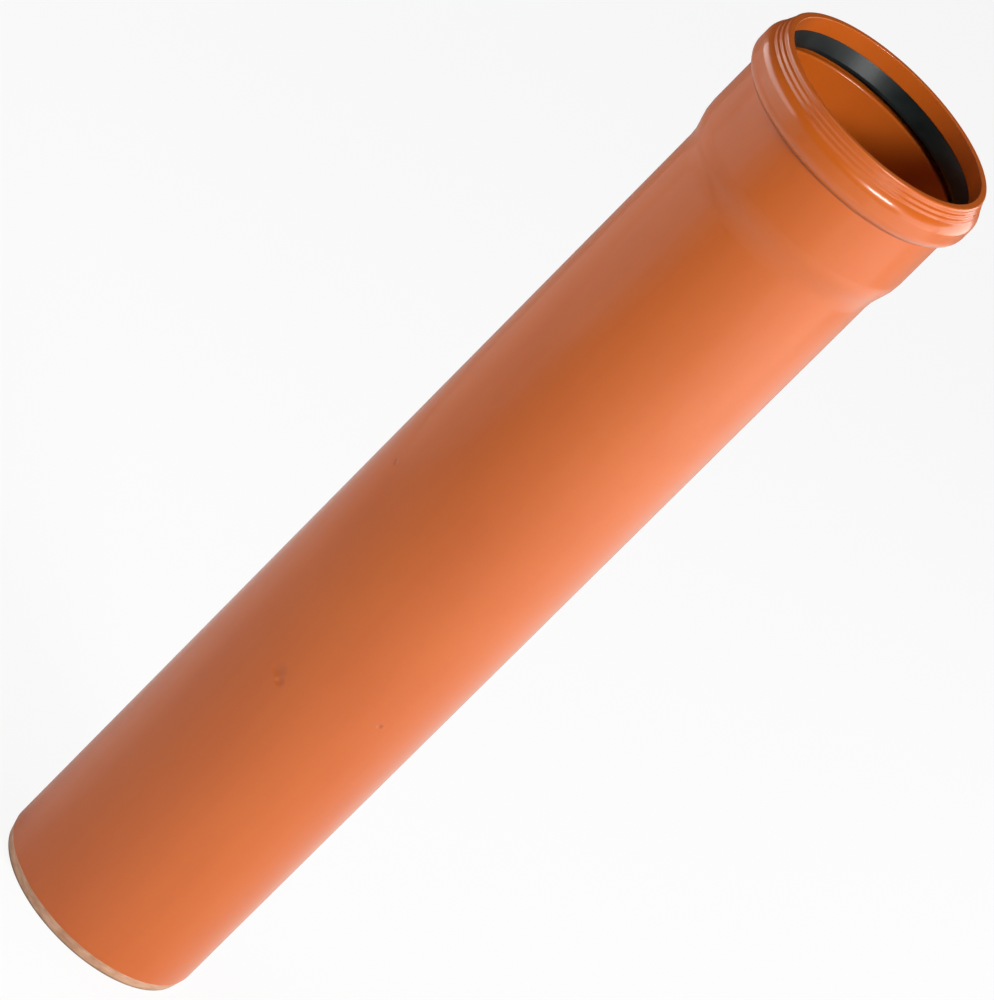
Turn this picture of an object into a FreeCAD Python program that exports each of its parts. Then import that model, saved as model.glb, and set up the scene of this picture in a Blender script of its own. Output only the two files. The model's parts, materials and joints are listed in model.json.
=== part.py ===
"""PVC gravity sewer pipe with a ring-seal socket, nominal size 110.

Two pieces. The pipe is one extruded length: its lower end is plain and chamfered, and
its upper end is widened into a socket with a groove swelled out near the mouth. The
rubber lip ring sits in that groove. The pipe stands on its plain end, socket up.

Origin: the centre of the plain end's face. +Z runs along the axis, towards the mouth.
All sizes are in millimetres. A section corner is (radius, height, rounding radius).
"""
import FreeCAD, Part
import math
import os

# Barrel
total_length = 560.0
outer_diameter = 110.0
wall = 3.2

# Plain end: the outside is turned down to a cone that starts the next socket
chamfer_length = 6.0
chamfer_angle = 15.0

# Socket: room for the plain end of the next pipe
socket_clearance = 0.4      # gap on the radius around an inserted plain end
socket_wall = 3.2
socket_straight = 53.8      # from the mouth down to the start of the shoulder
shoulder_length = 20.0      # from the socket's straight wall to the barrel's

# Groove for the ring, pressed out of the wall, so it shows outside as a bead
groove_start = 8.8          # from the mouth down to the groove's upper face
groove_length = 12.4
groove_depth = 5.0          # on the radius, outwards from the socket's bore
groove_round = 2.5
groove_edge_round = 1.2     # the wide, soft edge below the ring
bead_round = 6.0
bead_top_offset = 1.1       # from the groove's upper face down to the bead's upper corner
bead_bottom_offset = 1.6    # from the groove's lower face up to the bead's lower corner
bead_edge_offset = 1.1      # from the groove's lower face down to the bead's sharp edge
bead_edge_drop = 2.0        # on the radius, from the bead's crown to that edge

# Lip at the mouth, with two fine ridges between it and the bead
lip_flare = 0.3             # on the radius, the lip outside the socket's wall
lip_length = 2.7
ridge_step = 1.0            # on the radius, from the lip to a ridge and to the next
ridge_length = 2.2
ridge_rise = 0.7            # along the axis, the short slope that leads up to a ridge
edge_round = 0.4
lip_round = 1.0             # the lip's outer edge

# Rubber lip ring
ring_clearance = 0.1        # on the radius, between the ring and the groove's wall
ring_end_gap = 1.2          # below the ring, where it can spread when it is squeezed
ring_body_thickness = 3.2   # on the radius, the part that stays in the groove
lip_squeeze = 1.7           # on the radius, the lip inside an inserted plain end
lip_lift = 2.4              # from the ring's lower face up to the lip's lower edge
lip_land = 1.4              # the short straight wall at the lip's tip
lip_underside_rise = 1.1    # along the axis, the lip's thin edge to the ring's body

# Worked out from the sizes above
outer_radius = outer_diameter / 2
bore_radius = outer_radius - wall
chamfer_drop = chamfer_length * math.tan(math.radians(chamfer_angle))
socket_bore = outer_radius + socket_clearance
socket_outer = socket_bore + socket_wall
lip_outer = socket_outer + lip_flare
groove_radius = socket_bore + groove_depth
bead_radius = groove_radius + socket_wall
groove_top = total_length - groove_start
groove_bottom = groove_top - groove_length
shoulder_top = total_length - socket_straight
shoulder_bottom = shoulder_top - shoulder_length


def rounded_face(corners):
    """A face in the XZ plane from corners (radius, height, rounding radius)."""
    count = len(corners)
    edges = []
    ends = []
    for index, (radius, height, rounding) in enumerate(corners):
        here = FreeCAD.Vector(radius, 0, height)
        before = FreeCAD.Vector(corners[index - 1][0], 0, corners[index - 1][1])
        after_corner = corners[(index + 1) % count]
        after = FreeCAD.Vector(after_corner[0], 0, after_corner[1])
        towards_before = (before - here).normalize()
        towards_after = (after - here).normalize()
        half_angle = towards_before.getAngle(towards_after) / 2
        setback = rounding / math.tan(half_angle)
        start = here + towards_before * setback
        end = here + towards_after * setback
        ends.append((start, end))
        if rounding > 0:
            inwards = (towards_before + towards_after).normalize()
            middle = here + inwards * (rounding / math.sin(half_angle) - rounding)
            edges.append(Part.Arc(start, middle, end).toShape())
    for index in range(count):
        line_start = ends[index - 1][1]
        line_end = ends[index][0]
        edges.append(Part.LineSegment(line_start, line_end).toShape())
    return Part.Face(Part.Wire(Part.__sortEdges__(edges)))


def revolved(corners):
    """The section turned once round the pipe's axis."""
    origin = FreeCAD.Vector(0, 0, 0)
    axis = FreeCAD.Vector(0, 0, 1)
    return rounded_face(corners).revolve(origin, axis, 360)


def shoulder_corners(lower_radius, upper_radius):
    """Two gentle bends that meet half way up the shoulder, an S from wall to wall."""
    quarter = shoulder_length / 4
    drop = upper_radius - lower_radius
    slope_length = math.hypot(drop, 2 * quarter)
    turn = math.atan2(drop, 2 * quarter)
    straight_share = 0.9
    bend = straight_share * (slope_length / 2) / math.tan(turn / 2)
    lower = (lower_radius, shoulder_bottom + quarter, bend)
    upper = (upper_radius, shoulder_top - quarter, bend)
    return lower, upper


def inside_corners():
    """The bore from the plain end up to the mouth, with the ring's groove."""
    shoulder_low, shoulder_high = shoulder_corners(bore_radius, socket_bore)
    return [
        (bore_radius, 0, 0),
        shoulder_low,
        shoulder_high,
        (socket_bore, groove_bottom, groove_edge_round),
        (groove_radius, groove_bottom, groove_round),
        (groove_radius, groove_top, groove_round),
        (socket_bore, groove_top, edge_round),
        (socket_bore, total_length, edge_round),
    ]


def lip_corners():
    """The outside from the mouth down over the two fine ridges."""
    corners = [(lip_outer, total_length, lip_round)]
    radius = lip_outer
    height = total_length - lip_length
    for _ in range(2):
        corners.append((radius, height, edge_round))
        radius += ridge_step
        height -= ridge_rise
        corners.append((radius, height, edge_round))
        height -= ridge_length - ridge_rise
    corners.append((radius, height, edge_round))
    return corners


def bead_corners():
    """The outside of the groove's bead, down to the sharp crease under it."""
    crown_top = groove_top - bead_top_offset
    crown_bottom = groove_bottom + bead_bottom_offset
    lower_edge = groove_bottom - bead_edge_offset
    crease = groove_bottom - socket_wall
    return [
        (bead_radius, crown_top, bead_round),
        (bead_radius, crown_bottom, bead_round),
        (bead_radius - bead_edge_drop, lower_edge, edge_round),
        (socket_outer, crease, edge_round),
    ]


def outside_corners():
    """The outside from the mouth down to the plain end."""
    shoulder_low, shoulder_high = shoulder_corners(outer_radius, socket_outer)
    return lip_corners() + bead_corners() + [
        shoulder_high,
        shoulder_low,
        (outer_radius, chamfer_length, 0),
        (outer_radius - chamfer_drop, 0, 0),
    ]


def socket_pipe():
    """The pipe with its socket, groove and bead, in one wall."""
    return revolved(inside_corners() + outside_corners())


def sealing_ring():
    """The ring: a body in the groove, and a lip that leans in and down from its top."""
    ring_outer = groove_radius - ring_clearance
    ring_bottom = groove_bottom + ring_end_gap
    body_inner = ring_outer - ring_body_thickness
    face_top = socket_bore + edge_round
    lip_radius = outer_radius - lip_squeeze
    lip_low = ring_bottom + lip_lift
    lip_high = lip_low + lip_land
    return revolved([
        (face_top, groove_top, 0),
        (lip_radius, lip_high, edge_round),
        (lip_radius, lip_low, edge_round / 2),
        (body_inner, lip_low - lip_underside_rise, edge_round),
        (body_inner, ring_bottom, edge_round),
        (ring_outer, ring_bottom, groove_round),
        (ring_outer, groove_top, groove_round),
    ])


os.makedirs("parts", exist_ok=True)
for name, make in (("socket_pipe", socket_pipe), ("sealing_ring", sealing_ring)):
    shape = make()
    shape.exportStep("parts/" + name + ".step")
    box = shape.BoundBox
    print(name, "solids", len(shape.Solids), "valid", shape.isValid(),
          "volume", round(shape.Volume), "mm3, height", round(box.ZMin, 2), "to", round(box.ZMax, 2))
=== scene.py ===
"""The look of the PVC sewer pipe: its wall, its cut edges and its rubber ring, in a white studio.

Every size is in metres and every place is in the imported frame: the pipe stands on its plain
end at the origin with its socket up. A section corner is (radius, height, rounding radius).
"""

import json
import math

import bpy
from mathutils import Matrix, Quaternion, Vector, noise


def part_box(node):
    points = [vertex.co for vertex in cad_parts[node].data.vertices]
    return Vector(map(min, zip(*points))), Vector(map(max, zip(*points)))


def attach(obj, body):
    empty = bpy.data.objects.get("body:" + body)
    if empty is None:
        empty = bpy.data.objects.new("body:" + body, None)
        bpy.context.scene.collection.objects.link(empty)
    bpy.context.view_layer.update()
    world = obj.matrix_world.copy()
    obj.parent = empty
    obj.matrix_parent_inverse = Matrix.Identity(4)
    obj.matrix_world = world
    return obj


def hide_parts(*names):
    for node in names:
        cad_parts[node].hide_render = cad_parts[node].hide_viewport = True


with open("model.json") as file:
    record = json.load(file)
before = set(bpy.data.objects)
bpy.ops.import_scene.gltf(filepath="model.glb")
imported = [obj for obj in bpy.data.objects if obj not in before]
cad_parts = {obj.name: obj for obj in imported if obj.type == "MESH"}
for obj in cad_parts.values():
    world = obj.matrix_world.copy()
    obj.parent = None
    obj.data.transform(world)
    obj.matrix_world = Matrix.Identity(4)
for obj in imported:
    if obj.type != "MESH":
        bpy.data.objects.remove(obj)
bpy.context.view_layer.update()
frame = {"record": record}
MM = 0.001

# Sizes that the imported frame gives
mounts = {mount["name"]: mount for mount in frame["record"]["mounts"]}
_, pipe_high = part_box("socket_pipe")
ring_low, ring_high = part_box("sealing_ring")
TOTAL_LENGTH = pipe_high[2]
BEAD_RADIUS = pipe_high[0]
OUTER_RADIUS = mounts["spigot"]["dims"]["r_mm"] * MM
BORE_RADIUS = mounts["barrel_bore"]["dims"]["r_mm"] * MM
SOCKET_BORE = mounts["socket_mouth"]["dims"]["r_mm"] * MM
LIP_RADIUS = mounts["seal_lip"]["dims"]["r_mm"] * MM
SHOULDER_BOTTOM = mounts["barrel_bore"]["dims"]["length_mm"] * MM
CHAMFER_LENGTH = SHOULDER_BOTTOM - mounts["spigot"]["dims"]["length_mm"] * MM
RING_RADIUS = ring_high[0]
RING_TOP = ring_high[2]
RING_BOTTOM = ring_low[2]

# Sizes of the pipe's section
WALL = OUTER_RADIUS - BORE_RADIUS
CHAMFER_ANGLE = math.radians(15)
SHOULDER_LENGTH = 19.6 * MM
SHOULDER_BEND_SHARE = 0.96
SHOULDER_TOP = SHOULDER_BOTTOM + SHOULDER_LENGTH
SOCKET_OUTER = SOCKET_BORE + WALL
GROOVE_RADIUS = BEAD_RADIUS - WALL
GROOVE_TOP = RING_TOP
RING_ROOM = 1.2 * MM
GROOVE_BOTTOM = RING_BOTTOM - RING_ROOM
GROOVE_ROUND = 2.5 * MM
LIP_OUTER = SOCKET_OUTER + 0.3 * MM
LIP_LENGTH = 2.7 * MM
RIDGE_STEP = 1.0 * MM
RIDGE_LENGTH = 2.2 * MM
RIDGE_RISE = 0.7 * MM
BEAD_ROUND = 6.0 * MM
BEAD_EDGE_DROP = 2.0 * MM
BEAD_TOP_OFFSET = 1.1 * MM
BEAD_BOTTOM_OFFSET = 1.6 * MM
BEAD_EDGE_OFFSET = 1.1 * MM
EDGE_ROUND = 0.4 * MM
LIP_ROUND = 1.0 * MM
GROOVE_EDGE_ROUND = 1.2 * MM
CUT_ROUND = 0.2 * MM
CUT_WANDER = 0.35 * MM
CUT_WANDER_SCALE = 3.0

# Painted shade: a dark line in the crease under the bead
CREASE_HALF_WIDTH = 0.9 * MM
CREASE_SHADE_STRENGTH = 0.75
# The chamfer is darker towards its lowest edge
CUT_DARK_LOW = 0.2 * MM
CUT_DARK_HIGH = 1.4 * MM
CUT_DARK_STRENGTH = 0.85

# Sizes of the ring's section
RING_BODY = 3.2 * MM
LIP_LIFT = 2.4 * MM
LIP_LAND = 1.4 * MM
LIP_UNDERSIDE_RISE = 1.1 * MM

# Mesh
TURNS = 384
ARC_STEPS_PER_RADIAN = 6
SUPPORT = 0.3 * MM

# Knocks on the barrel: azimuth from the front in degrees, height, radius
DENTS = [
    (-17.0, 0.178, 5.0 * MM),
    (-13.0, 0.1745, 3.2 * MM),
    (-55.0, 0.2835, 2.4 * MM),
    (39.0, 0.189, 2.0 * MM),
    (152.0, 0.330, 3.5 * MM),
]

# The view: the pipe stands, and the camera is rolled so that it leans across the frame
VIEW_ELEVATION = math.radians(24.0)
VIEW_DISTANCE = 4.0
VIEW_ROLL = math.radians(45)
VIEW_CENTRE = Vector((-0.6 * MM, 0, 0.2915))
SENSOR = 36.0
LENS = 315.5


# ---------------------------------------------------------------- sections and meshes


def rounding_points(before, corner, after, rounding):
    """The points of one rounded corner, from its first tangent point to its last."""
    towards_before = (before - corner).normalized()
    towards_after = (after - corner).normalized()
    half_angle = towards_before.angle(towards_after) / 2
    inwards = (towards_before + towards_after).normalized()
    centre = corner + inwards * (rounding / math.sin(half_angle))
    setback = rounding / math.tan(half_angle)
    first = corner + towards_before * setback - centre
    last = corner + towards_after * setback - centre
    sweep = math.pi - 2 * half_angle
    steps = max(2, round(sweep * ARC_STEPS_PER_RADIAN))
    turn = sweep if first.x * last.y > first.y * last.x else -sweep
    points = []
    for step in range(steps + 1):
        angle = turn * step / steps
        cosine, sine = math.cos(angle), math.sin(angle)
        turned = Vector((first.x * cosine - first.y * sine, first.x * sine + first.y * cosine))
        points.append(centre + turned)
    return points


def section_points(corners):
    """A closed section with its roundings, and support points that keep long walls flat."""
    places = [Vector(corner[:2]) for corner in corners]
    points = []
    for index, corner in enumerate(corners):
        before = places[index - 1]
        after = places[(index + 1) % len(places)]
        rounded = rounding_points(before, places[index], after, corner[2])
        if points:
            points += supports(points[-1], rounded[0])
        points += rounded
    return points + supports(points[-1], points[0])


def supports(start, end):
    """Points just inside both ends of a straight stretch that is long enough for them."""
    along = end - start
    if along.length < 4 * SUPPORT:
        return []
    step = along.normalized() * SUPPORT
    return [start + step, end - step]


def turned_mesh(name, points, shift):
    """Turns a closed section round the axis.

    shift(point, direction) gives each vertex's small offset.
    """
    rows = len(points)
    vertices = []
    for turn in range(TURNS):
        angle = 2 * math.pi * turn / TURNS
        direction = Vector((math.cos(angle), math.sin(angle), 0))
        for point in points:
            out, up = shift(point, direction)
            vertices.append(direction * (point.x + out) + Vector((0, 0, point.y + up)))
    faces = []
    for turn in range(TURNS):
        here = turn * rows
        there = ((turn + 1) % TURNS) * rows
        for row in range(rows):
            above = (row + 1) % rows
            faces.append((here + row, here + above, there + above, there + row))
    mesh = bpy.data.meshes.new(name)
    mesh.from_pydata(vertices, [], faces)
    mesh.update()
    if mesh.polygons[0].normal.dot(mesh.polygons[0].center) > 0:
        mesh.flip_normals()
    mesh.polygons.foreach_set("use_smooth", [True] * len(mesh.polygons))
    return mesh


def shoulder_corners(lower_radius, upper_radius):
    """Two gentle bends that meet half way up the shoulder."""
    quarter = SHOULDER_LENGTH / 4
    drop = upper_radius - lower_radius
    slope_length = math.hypot(drop, 2 * quarter)
    bend = SHOULDER_BEND_SHARE * (slope_length / 2) / math.tan(math.atan2(drop, 2 * quarter) / 2)
    lower = (lower_radius, SHOULDER_BOTTOM + quarter, bend)
    upper = (upper_radius, SHOULDER_TOP - quarter, bend)
    return lower, upper


def inside_corners():
    """The bore from the plain end up to the mouth, with the ring's groove."""
    shoulder_low, shoulder_high = shoulder_corners(BORE_RADIUS, SOCKET_BORE)
    return [
        (BORE_RADIUS, 0, CUT_ROUND),
        shoulder_low,
        shoulder_high,
        (SOCKET_BORE, GROOVE_BOTTOM, GROOVE_EDGE_ROUND),
        (GROOVE_RADIUS, GROOVE_BOTTOM, GROOVE_ROUND),
        (GROOVE_RADIUS, GROOVE_TOP, GROOVE_ROUND),
        (SOCKET_BORE, GROOVE_TOP, EDGE_ROUND),
        (SOCKET_BORE, TOTAL_LENGTH, EDGE_ROUND),
    ]


def lip_corners():
    """The outside from the mouth down over the two fine ridges."""
    corners = [(LIP_OUTER, TOTAL_LENGTH, LIP_ROUND)]
    radius = LIP_OUTER
    height = TOTAL_LENGTH - LIP_LENGTH
    for _ in range(2):
        corners.append((radius, height, EDGE_ROUND))
        radius += RIDGE_STEP
        height -= RIDGE_RISE
        corners.append((radius, height, EDGE_ROUND))
        height -= RIDGE_LENGTH - RIDGE_RISE
    corners.append((radius, height, EDGE_ROUND))
    return corners


def outside_corners():
    """The outside from the mouth down over the bead and the shoulder to the plain end."""
    shoulder_low, shoulder_high = shoulder_corners(OUTER_RADIUS, SOCKET_OUTER)
    end_radius = OUTER_RADIUS - CHAMFER_LENGTH * math.tan(CHAMFER_ANGLE)
    return lip_corners() + [
        (BEAD_RADIUS, GROOVE_TOP - BEAD_TOP_OFFSET, BEAD_ROUND),
        (BEAD_RADIUS, GROOVE_BOTTOM + BEAD_BOTTOM_OFFSET, BEAD_ROUND),
        (BEAD_RADIUS - BEAD_EDGE_DROP, GROOVE_BOTTOM - BEAD_EDGE_OFFSET, EDGE_ROUND),
        (SOCKET_OUTER, GROOVE_BOTTOM - WALL, EDGE_ROUND),
        shoulder_high,
        shoulder_low,
        (OUTER_RADIUS, CHAMFER_LENGTH, CUT_ROUND),
        (end_radius, 0, CUT_ROUND),
    ]


def ring_corners():
    """The ring: a body in the groove, and a lip that leans in and down from its top."""
    body_inner = RING_RADIUS - RING_BODY
    lip_low = RING_BOTTOM + LIP_LIFT
    return [
        (SOCKET_BORE + EDGE_ROUND, RING_TOP, CUT_ROUND),
        (LIP_RADIUS, lip_low + LIP_LAND, EDGE_ROUND),
        (LIP_RADIUS, lip_low, EDGE_ROUND / 2),
        (body_inner, lip_low - LIP_UNDERSIDE_RISE, EDGE_ROUND),
        (body_inner, RING_BOTTOM, EDGE_ROUND),
        (RING_RADIUS, RING_BOTTOM, GROOVE_ROUND),
        (RING_RADIUS, RING_TOP, GROOVE_ROUND),
    ]


def pipe_shift(point, direction):
    """The chamfer's upper edge wanders a little, as a hand-held cutter leaves it."""
    if abs(point.y - CHAMFER_LENGTH) < 3 * SUPPORT and point.x > BORE_RADIUS + WALL / 2:
        return 0, CUT_WANDER * noise.noise(direction * CUT_WANDER_SCALE)
    return 0, 0


def no_shift(point, direction):
    """A moulded piece is true all round."""
    return 0, 0


# ---------------------------------------------------------------- materials


def new_material(name):
    """An empty node material with its shader, ready to be wired."""
    material = bpy.data.materials.new(name)
    material.use_nodes = True
    nodes = material.node_tree.nodes
    return material, nodes, material.node_tree.links, nodes["Principled BSDF"]


def stretched_noise(nodes, links, stretch, scale, detail):
    """Noise on the object's own coordinates, drawn out along the pipe by a small Z stretch."""
    coordinates = nodes.new("ShaderNodeTexCoord")
    mapping = nodes.new("ShaderNodeMapping")
    mapping.inputs["Scale"].default_value = stretch
    links.new(coordinates.outputs["Object"], mapping.inputs["Vector"])
    texture = nodes.new("ShaderNodeTexNoise")
    texture.inputs["Scale"].default_value = scale
    texture.inputs["Detail"].default_value = detail
    links.new(mapping.outputs["Vector"], texture.inputs["Vector"])
    return texture.outputs["Fac"]


def ramp(nodes, links, source, stops):
    """A colour ramp on a value. stops are (position, colour)."""
    node = nodes.new("ShaderNodeValToRGB")
    elements = node.color_ramp.elements
    for index, (position, colour) in enumerate(stops):
        element = elements[index] if index < 2 else elements.new(position)
        element.position = position
        element.color = (*colour, 1)
    links.new(source, node.inputs["Fac"])
    return node.outputs["Color"]


def value_range(nodes, links, source, low, high):
    """Maps a 0 to 1 value to the span from low to high."""
    node = nodes.new("ShaderNodeMapRange")
    node.inputs["To Min"].default_value = low
    node.inputs["To Max"].default_value = high
    links.new(source, node.inputs["Value"])
    return node.outputs["Result"]


def bump(nodes, links, height, distance, strength, under=None):
    """A bump, laid on top of another one where that is given."""
    node = nodes.new("ShaderNodeBump")
    node.inputs["Distance"].default_value = distance
    node.inputs["Strength"].default_value = strength
    links.new(height, node.inputs["Height"])
    if under is not None:
        links.new(under, node.inputs["Normal"])
    return node.outputs["Normal"]


def dents(nodes, links):
    """A few shallow knocks on the barrel: 0 at the middle of each, and 1 away from them."""
    coordinates = nodes.new("ShaderNodeTexCoord")
    total = None
    for azimuth, height, radius in DENTS:
        place = towards(azimuth, 0) * OUTER_RADIUS + Vector((0, 0, height))
        away = nodes.new("ShaderNodeVectorMath")
        away.operation = "DISTANCE"
        away.inputs[1].default_value = place
        links.new(coordinates.outputs["Object"], away.inputs[0])
        depth = nodes.new("ShaderNodeMapRange")
        depth.interpolation_type = "SMOOTHSTEP"
        depth.inputs["From Max"].default_value = radius
        links.new(away.outputs["Value"], depth.inputs["Value"])
        if total is None:
            total = depth.outputs["Result"]
            continue
        both = nodes.new("ShaderNodeMath")
        both.operation = "MINIMUM"
        links.new(total, both.inputs[0])
        links.new(depth.outputs["Result"], both.inputs[1])
        total = both.outputs["Value"]
    return total


def crease_painted_shade(nodes, links):
    """A thin line of painted shade in the crease under the bead: 1 in the crease, and 0 away from it."""
    coordinates = nodes.new("ShaderNodeTexCoord")
    away = nodes.new("ShaderNodeVectorMath")
    away.operation = "SUBTRACT"
    away.inputs[1].default_value = (0, 0, GROOVE_BOTTOM - WALL)
    links.new(coordinates.outputs["Object"], away.inputs[0])
    parts = nodes.new("ShaderNodeSeparateXYZ")
    links.new(away.outputs["Vector"], parts.inputs["Vector"])
    flat = nodes.new("ShaderNodeCombineXYZ")
    links.new(parts.outputs["X"], flat.inputs["X"])
    links.new(parts.outputs["Y"], flat.inputs["Y"])
    radius = nodes.new("ShaderNodeVectorMath")
    radius.operation = "LENGTH"
    links.new(flat.outputs["Vector"], radius.inputs[0])
    outside = nodes.new("ShaderNodeMath")
    outside.operation = "GREATER_THAN"
    outside.inputs[1].default_value = SOCKET_OUTER - WALL / 2
    links.new(radius.outputs["Value"], outside.inputs[0])
    drop = nodes.new("ShaderNodeMath")
    drop.operation = "ABSOLUTE"
    links.new(parts.outputs["Z"], drop.inputs[0])
    line = nodes.new("ShaderNodeMapRange")
    line.interpolation_type = "SMOOTHSTEP"
    line.inputs["From Max"].default_value = CREASE_HALF_WIDTH
    line.inputs["To Min"].default_value = CREASE_SHADE_STRENGTH
    line.inputs["To Max"].default_value = 0.0
    links.new(drop.outputs["Value"], line.inputs["Value"])
    both = nodes.new("ShaderNodeMath")
    both.operation = "MULTIPLY"
    links.new(outside.outputs["Value"], both.inputs[0])
    links.new(line.outputs["Result"], both.inputs[1])
    return both.outputs["Value"]


def blend(nodes, links, share, under, over):
    """Lays a plain colour over a wired one by a 0 to 1 share."""
    node = nodes.new("ShaderNodeMix")
    node.data_type = "RGBA"
    links.new(share, node.inputs["Factor"])
    links.new(under, node.inputs["A"])
    node.inputs["B"].default_value = (*over, 1)
    return node.outputs["Result"]


def wall_material():
    """Extruded PVC: lengthwise die lines, a faint mottle, a few knocks and a soft gloss, with painted
    shade in the middle of each knock and in the crease under the bead.
    """
    material, nodes, links, shader = new_material("pvc_wall")
    streaks = stretched_noise(nodes, links, (1, 1, 0.02), 260, 3)
    bands = stretched_noise(nodes, links, (1, 1, 0.012), 90, 3)
    mottle = stretched_noise(nodes, links, (1, 1, 0.4), 22, 4)
    colour = ramp(nodes, links, mottle, [(0.3, (0.560, 0.104, 0.007)), (0.7, (0.600, 0.120, 0.010))])
    colour = blend(nodes, links, value_range(nodes, links, bands, 0.0, 0.16), colour, (0.72, 0.20, 0.03))
    knocks = dents(nodes, links)
    # Painted shade: the middle of each knock is darkened, as if shade lay in it
    colour = blend(nodes, links, value_range(nodes, links, knocks, 0.16, 0.0), colour, (0.25, 0.05, 0.02))
    # Painted shade: a dark line laid into the crease under the bead
    colour = blend(nodes, links, crease_painted_shade(nodes, links), colour, (0.16, 0.035, 0.012))
    links.new(colour, shader.inputs["Base Color"])
    links.new(value_range(nodes, links, mottle, 0.28, 0.35), shader.inputs["Roughness"])
    lines = bump(nodes, links, streaks, 0.025 * MM, 0.6)
    links.new(bump(nodes, links, knocks, 0.7 * MM, 1.0, lines), shader.inputs["Normal"])
    shader.inputs["IOR"].default_value = 1.46
    shader.inputs["Coat Weight"].default_value = 0.4
    shader.inputs["Coat Roughness"].default_value = 0.08
    return material


def cut_material():
    """The turned chamfer and the sawn end: paler and dull, and darker towards the lower edge."""
    material, nodes, links, shader = new_material("pvc_cut")
    marks = stretched_noise(nodes, links, (1, 1, 3), 160, 4)
    colour = ramp(nodes, links, marks, [(0.3, (0.50, 0.25, 0.14)), (0.7, (0.72, 0.44, 0.29))])
    coordinates = nodes.new("ShaderNodeTexCoord")
    parts = nodes.new("ShaderNodeSeparateXYZ")
    links.new(coordinates.outputs["Object"], parts.inputs["Vector"])
    edge = nodes.new("ShaderNodeMapRange")
    edge.interpolation_type = "SMOOTHSTEP"
    edge.inputs["From Min"].default_value = CUT_DARK_LOW
    edge.inputs["From Max"].default_value = CUT_DARK_HIGH
    edge.inputs["To Min"].default_value = CUT_DARK_STRENGTH
    edge.inputs["To Max"].default_value = 0.0
    links.new(parts.outputs["Z"], edge.inputs["Value"])
    # Darker towards the bottom of the chamfer
    colour = blend(nodes, links, edge.outputs["Result"], colour, (0.20, 0.12, 0.05))
    links.new(colour, shader.inputs["Base Color"])
    links.new(value_range(nodes, links, marks, 0.5, 0.7), shader.inputs["Roughness"])
    links.new(bump(nodes, links, marks, 0.15 * MM, 0.8), shader.inputs["Normal"])
    return material


def rubber_material():
    """Black moulded rubber with a soft, slightly greenish bloom."""
    material, nodes, links, shader = new_material("ring_rubber")
    bloom = stretched_noise(nodes, links, (1, 1, 1), 90, 4)
    colour = ramp(nodes, links, bloom, [(0.3, (0.006, 0.010, 0.010)), (0.75, (0.014, 0.020, 0.019))])
    links.new(colour, shader.inputs["Base Color"])
    links.new(value_range(nodes, links, bloom, 0.28, 0.40), shader.inputs["Roughness"])
    links.new(bump(nodes, links, bloom, 0.03 * MM, 0.4), shader.inputs["Normal"])
    shader.inputs["IOR"].default_value = 1.38
    return material


# ---------------------------------------------------------------- pieces


def add_piece(name, mesh, materials, node):
    """Puts a mesh in the scene in place of its CAD node."""
    for material in materials:
        mesh.materials.append(material)
    piece = bpy.data.objects.new(name, mesh)
    bpy.context.scene.collection.objects.link(piece)
    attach(piece, "root")
    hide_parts(node)


def make_pipe():
    """The pipe, with its own material on the turned chamfer and the sawn end."""
    points = section_points(inside_corners() + outside_corners())
    mesh = turned_mesh("pipe_wall", points, pipe_shift)
    add_piece("pipe_wall", mesh, [wall_material(), cut_material()], "socket_pipe")
    for polygon in mesh.polygons:
        centre = polygon.center
        outside = math.hypot(centre.x, centre.y) > BORE_RADIUS + CUT_ROUND
        if centre.z < CHAMFER_LENGTH and outside:
            polygon.material_index = 1


def make_ring():
    """The rubber lip ring."""
    mesh = turned_mesh("lip_ring", section_points(ring_corners()), no_shift)
    add_piece("lip_ring", mesh, [rubber_material()], "sealing_ring")


# ---------------------------------------------------------------- studio


def towards(azimuth, elevation):
    """A direction from the object. Azimuth 0 is the camera's side, and 90 is its right."""
    flat = math.cos(math.radians(elevation))
    turn = math.radians(azimuth)
    return Vector((math.sin(turn) * flat, -math.cos(turn) * flat, math.sin(math.radians(elevation))))


def softbox(name, azimuth, elevation, distance, size, power, aim_height):
    """A rectangular lamp that faces a point on the pipe's axis and stays out of the picture."""
    lamp = bpy.data.lights.new(name, "AREA")
    lamp.shape = "RECTANGLE"
    lamp.size, lamp.size_y = size
    lamp.energy = power
    thing = bpy.data.objects.new(name, lamp)
    bpy.context.scene.collection.objects.link(thing)
    out = towards(azimuth, elevation)
    thing.location = Vector((0, 0, aim_height)) + out * distance
    thing.rotation_mode = "QUATERNION"
    thing.rotation_quaternion = (-out).to_track_quat("-Z", "Y")
    thing.visible_camera = False


def white_for_camera(nodes, links, socket, seen, otherwise):
    """Sets a strength that only camera rays see at its first value."""
    path = nodes.new("ShaderNodeLightPath")
    node = nodes.new("ShaderNodeMapRange")
    node.inputs["To Min"].default_value = otherwise
    node.inputs["To Max"].default_value = seen
    links.new(path.outputs["Is Camera Ray"], node.inputs["Value"])
    links.new(node.outputs["Result"], socket)


def make_world():
    """A white room for the camera, and only a trace of fill for the object."""
    world = bpy.data.worlds.new("studio")
    bpy.context.scene.world = world
    world.use_nodes = True
    nodes, links = world.node_tree.nodes, world.node_tree.links
    background = nodes["Background"]
    background.inputs["Color"].default_value = (1, 1, 1, 1)
    white_for_camera(nodes, links, background.inputs["Strength"], 1.0, 0.03)


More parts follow.
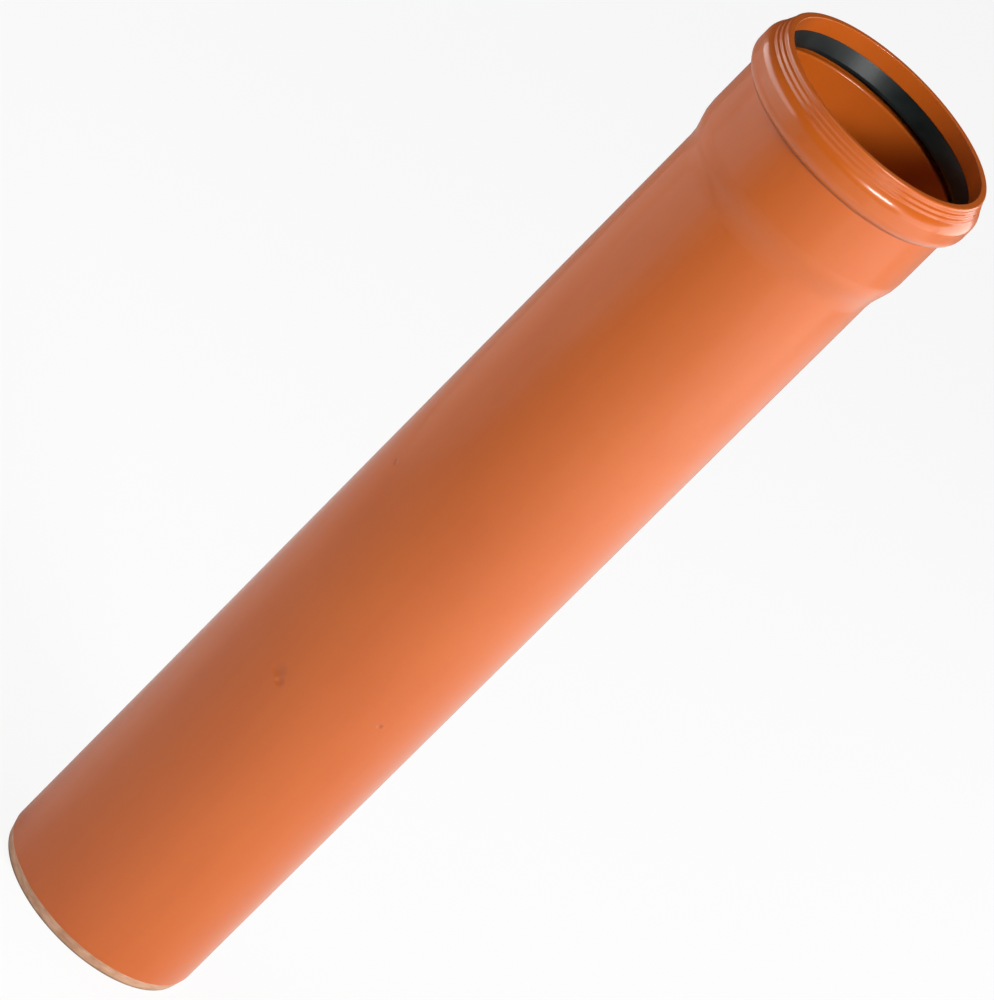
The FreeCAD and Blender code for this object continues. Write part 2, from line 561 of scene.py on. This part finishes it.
def make_floor():
    """A white floor that keeps the object's shadow."""
    mesh = bpy.data.meshes.new("floor")
    reach = 12.0
    corners = [(-reach, -reach, 0), (reach, -reach, 0), (reach, reach, 0), (-reach, reach, 0)]
    mesh.from_pydata(corners, [], [(0, 1, 2, 3)])
    floor = bpy.data.objects.new("floor", mesh)
    bpy.context.scene.collection.objects.link(floor)
    material, nodes, links, shader = new_material("floor_white")
    shader.inputs["Base Color"].default_value = (0.82, 0.82, 0.82, 1)
    shader.inputs["Roughness"].default_value = 0.9
    glow = nodes.new("ShaderNodeEmission")
    mix = nodes.new("ShaderNodeMixShader")
    white_for_camera(nodes, links, mix.inputs["Fac"], 0.9, 0.0)
    links.new(shader.outputs["BSDF"], mix.inputs[1])
    links.new(glow.outputs["Emission"], mix.inputs[2])
    links.new(mix.outputs["Shader"], nodes["Material Output"].inputs["Surface"])
    mesh.materials.append(material)


def make_lights():
    """A wide key lamp at the right front, a ceiling panel, and sheets and panels at the sides."""
    middle = TOTAL_LENGTH / 2
    softbox("key", 46, 34, 1.95, (0.75, 0.4), 30.5, middle)
    softbox("ceiling", 0, 88, 1.5, (1.2, 1.2), 4, middle)
    softbox("right_sheet", 85, 12, 1.2, (0.9, 0.8), 4.5, 0.25)
    softbox("right_rim", 130, 15, 1.2, (0.9, 0.8), 6, 0.25)
    softbox("right_front", 75, 0, 0.9, (1.2, 0.22), 0.4, 0.13)
    softbox("left_high", -88, 0, 0.6, (1.0, 0.3), 2.7, 0.5)
    softbox("left_low", -95, 0, 0.6, (1.0, 0.26), 0.25, 0.16)
    softbox("left_front", -70, 0, 0.9, (1.2, 0.22), 0.25, 0.13)


def make_camera():
    """The camera looks down on the pipe's middle and is rolled to the left."""
    lens = bpy.data.cameras.new("camera")
    lens.sensor_width = SENSOR
    lens.lens = LENS
    camera = bpy.data.objects.new("camera", lens)
    bpy.context.scene.collection.objects.link(camera)
    back = towards(0, math.degrees(VIEW_ELEVATION))
    camera.location = VIEW_CENTRE + back * VIEW_DISTANCE
    camera.rotation_mode = "QUATERNION"
    aim = (-back).to_track_quat("-Z", "Y")
    camera.rotation_quaternion = aim @ Quaternion((0, 0, 1), VIEW_ROLL)
    bpy.context.scene.camera = camera


make_pipe()
make_ring()
make_floor()
make_world()
make_lights()
make_camera()
bpy.context.scene.view_settings.view_transform = "Standard"
